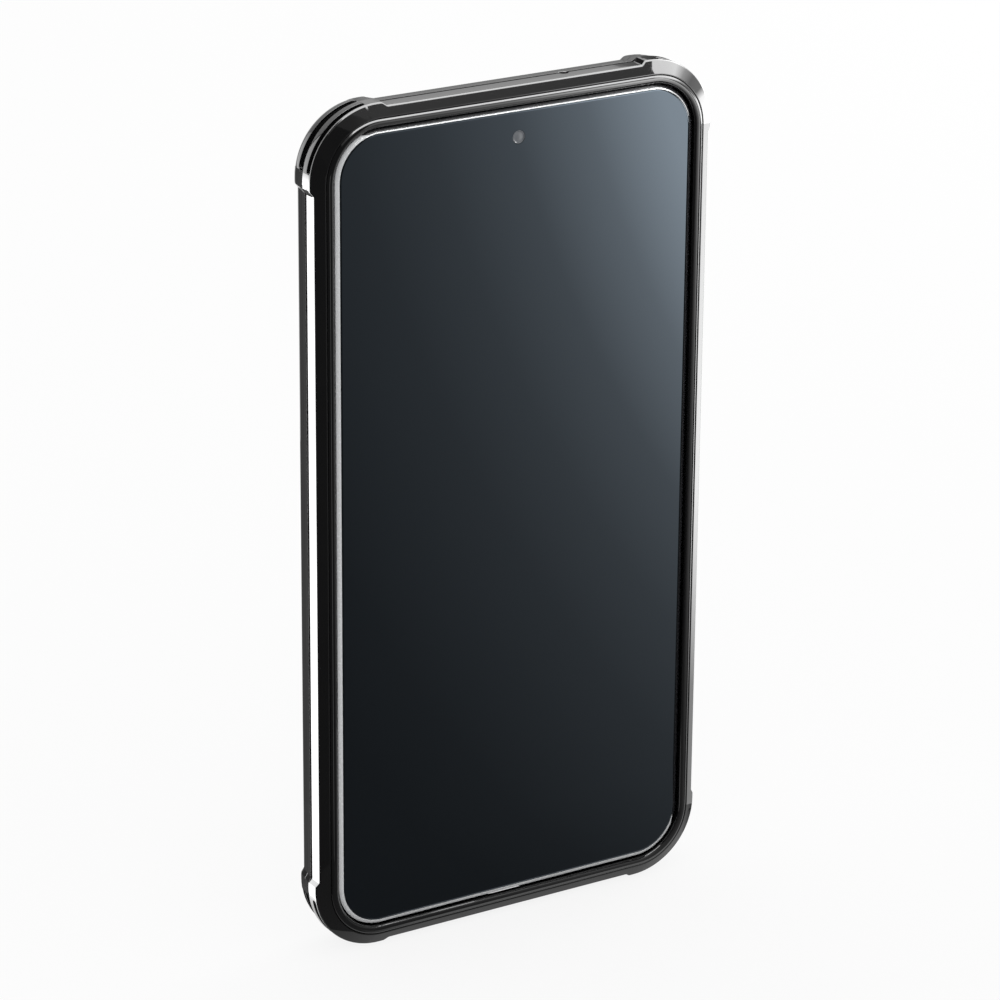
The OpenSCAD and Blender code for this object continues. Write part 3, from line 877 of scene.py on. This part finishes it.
# cards round the standing part that only reflections see; stops are (distance, level),
# with the distance counted along an axis or from a centre
screenLight = dict(centre=(300, -42, 220), stops=[
    (242, 7.5), (260, 6.4), (276, 3.1), (291, 1.58), (307, 0.96), (323, 0.62), (338, 0.45), (354, 0.29),
    (370, 0.21), (385, 0.185), (425, 0.16),
])
cards = [
    dict(name="leftCard", x=-58, y=(-70, 260), z=(0, 176), along="Y",
         stops=[(-70, 1.5), (-46, 1.5), (-43, 0.1), (10, 0.1), (34, 0.22), (260, 0.22)]),
    dict(name="leftStrip", x=-57.8, y=(11, 33), z=(0, 176), along="Z",
         stops=[(0, 12), (135, 12), (140, 4.2), (176, 3.6)]),
    dict(name="leftBackCard", x=-57.9, y=(36, 120), z=(133, 176), along="Z",
         stops=[(133, 2.8), (150, 2.6), (176, 1.6)]),
    dict(name="topCard", x=(-58, 62), y=(-70, 24), z=176, along="Y", stops=[
        (-70, 1.5), (-33, 1.5), (-31.5, 0.75), (-25.5, 0.75), (-23.5, 14), (-4, 14), (4, 9), (24, 8),
    ]),
    dict(name="topLeftCard", x=(-58, -8), y=(-42, -31.5), z=175.8, along="X",
         stops=[(-58, 0.3), (-30, 0.35), (-8, 0.75)]),
    dict(name="topCornerCard", x=(-58, -40), y=(-26, 14), z=175.7, along="X",
         stops=[(-58, 0.5), (-45, 0.7), (-40, 6)]),
    dict(name="topRampCard", x=(-5, 32), y=(16, 38), z=175.8, along="X",
         stops=[(-5, 0.1), (32, 0.1)]),
    dict(name="topBackCard", x=(-58, 62), y=(24, 140), z=176, along="Y",
         stops=[(24, 1.6), (34, 1.55), (45, 1.5), (70, 0.85), (140, 0.85)]),
    dict(name="cornerBox", along="Z",
         corners=[(47, -27, 175), (47, 14, 175), (61, 14, 136), (61, -27, 136)],
         stops=[(136, 10), (146, 10), (149, 1.8), (154, 1.8), (158, 5), (162, 13), (175, 14)]),
    dict(name="rightCard", x=62, y=(-70, 200), z=(0, 176), along="Y", stops=[
        (-70, 0.2), (-26, 0.2), (-8, 0.2), (-4, 0.4), (4, 0.08), (40, 0.08), (60, 0.4), (200, 0.4),
    ]),
    dict(name="rightStrip", x=61.8, y=(-7, 4), z=(0, 150), along="Z",
         stops=[(0, 1.4), (26, 1.6), (48, 4.4), (64, 6), (150, 6)]),
    dict(name="frontLeftCard", x=(-48, -16), y=-42, z=(0, 176), along="X",
         stops=[(-48, 0.1), (-16, 0.12)]),
    dict(name="frontCornerCard", x=(-58, -48), y=-42, z=(140, 176), along="X",
         stops=[(-58, 0.12), (-48, 0.1)]),
    dict(name="frontCard", x=(-16, 62), y=-42, z=(0, 176), **screenLight),
    dict(name="frontTopCard", x=(-16, 62), y=-41.8, z=(146, 170), along="X",
         stops=[(-16, 1.5), (8, 2.4), (21, 3.3), (33, 7.5), (45, 10), (62, 10)]),
    dict(name="frontEdgeCard", x=(59.7, 62), y=-41.8, z=(0, 146), along="Z",
         stops=[(0, 0.1), (60, 0.3), (115, 0.5), (122, 3), (132, 9), (146, 10)]),
    dict(name="floorLipCard", x=(-30, 62), y=(-12, -6.2), z=0.3, along="X",
         stops=[(-30, 0.2), (-18, 1.5), (62, 1.7)]),
    dict(name="floorFrontCard", x=(-58, 62), y=(-42, -6), z=0.2, **screenLight),
    dict(name="floorCard", x=(-58, 62), y=(-6, 260), z=0.2, along="Y",
         stops=[(-6, 0.6), (-2, 0.6), (0, 0.05), (34, 0.05), (40, 0.2), (260, 0.2)]),
    dict(name="floorBackCard", x=(-58, -40.5), y=(14, 60), z=0.3, along="Y",
         stops=[(14, 0.22), (60, 0.22)]),
    dict(name="floorStrip", along="Y",
         corners=[(-58, 20, 0.4), (-47.5, 5, 0.4), (-47.5, 16, 0.4), (-58, 33, 0.4)],
         stops=[(5, 11), (33, 12)]),
    dict(name="floorCornerCard", along="X",
         corners=[(-47.5, 5, 0.4), (-31, 0, 0.4), (-31, 8, 0.4), (-47.5, 16, 0.4)],
         stops=[(-47.5, 6.5), (-45, 4.4), (-41, 2.2), (-34.5, 0.6), (-31, 0.2)]),
]


def cardCorners(card):
    if "corners" in card:
        return card["corners"]
    # an upright or level card has one place and two ranges
    x, y, z = (card[axis] for axis in "xyz")
    if not isinstance(x, tuple):
        return [(x, y[0], z[0]), (x, y[1], z[0]), (x, y[1], z[1]), (x, y[0], z[1])]
    if not isinstance(y, tuple):
        return [(x[0], y, z[0]), (x[1], y, z[0]), (x[1], y, z[1]), (x[0], y, z[1])]
    return [(x[0], y[0], z), (x[1], y[0], z), (x[1], y[1], z), (x[0], y[1], z)]


def makeCard(card):
    bm = bmesh.new()
    bm.faces.new([bm.verts.new(Vector(corner) * mm) for corner in cardCorners(card)])
    obj = toObject(card["name"], bm)
    finish = Finish(card["name"])
    if "centre" in card:
        pair = {0: finish.place(), 1: Vector(card["centre"]) * mm}
        run = finish.node("ShaderNodeVectorMath", {"operation": "DISTANCE"}, pair, out="Value")
    else:
        run = finish.along(card["along"])
    low, high = card["stops"][0][0], card["stops"][-1][0]
    peak = max(level for distance, level in card["stops"])
    stops = [((distance - low) / (high - low), (level / peak,) * 3) for distance, level in card["stops"]]
    ends = {"Value": run, "From Min": low * mm, "From Max": high * mm}
    factor = finish.node("ShaderNodeMapRange", None, ends)
    colour = finish.node("ShaderNodeValToRGB", {"stops": stops}, {"Fac": factor})
    finish.surface(finish.node("ShaderNodeEmission", None, {"Color": colour, "Strength": peak}))
    obj.data.materials.append(finish.material)
    for ray in ("camera", "diffuse", "transmission", "volume_scatter", "shadow"):
        setattr(obj, "visible_" + ray, False)


def makeWorld():
    world = bpy.data.worlds.new("studio")
    world.use_nodes = True
    sky = world.node_tree.nodes["Background"]
    sky.inputs["Color"].default_value = (1, 1, 1, 1)
    sky.inputs["Strength"].default_value = studio["world"]
    scene.world = world


softBox = dict(place=(1.2, 0.35, 0.35), aim=(0, 0, 0.08), size=(0.5, 0.7), energy=6.0)


def makeLamp():
    data = bpy.data.lights.new("softBoxRight", "AREA")
    data.shape = "RECTANGLE"
    data.size, data.size_y = softBox["size"]
    data.energy = softBox["energy"]
    lamp = bpy.data.objects.new("softBoxRight", data)
    lamp.location = softBox["place"]
    beam = Vector(softBox["aim"]) - Vector(softBox["place"])
    lamp.rotation_euler = beam.to_track_quat("-Z", "Y").to_euler()
    lamp.visible_camera = False
    lamp.visible_glossy = False
    scene.collection.objects.link(lamp)


print("lighting the studio")
makeCamera()
makeFloor()
makeWorld()
for card in cards:
    makeCard(card)
makeLamp()

print("done")
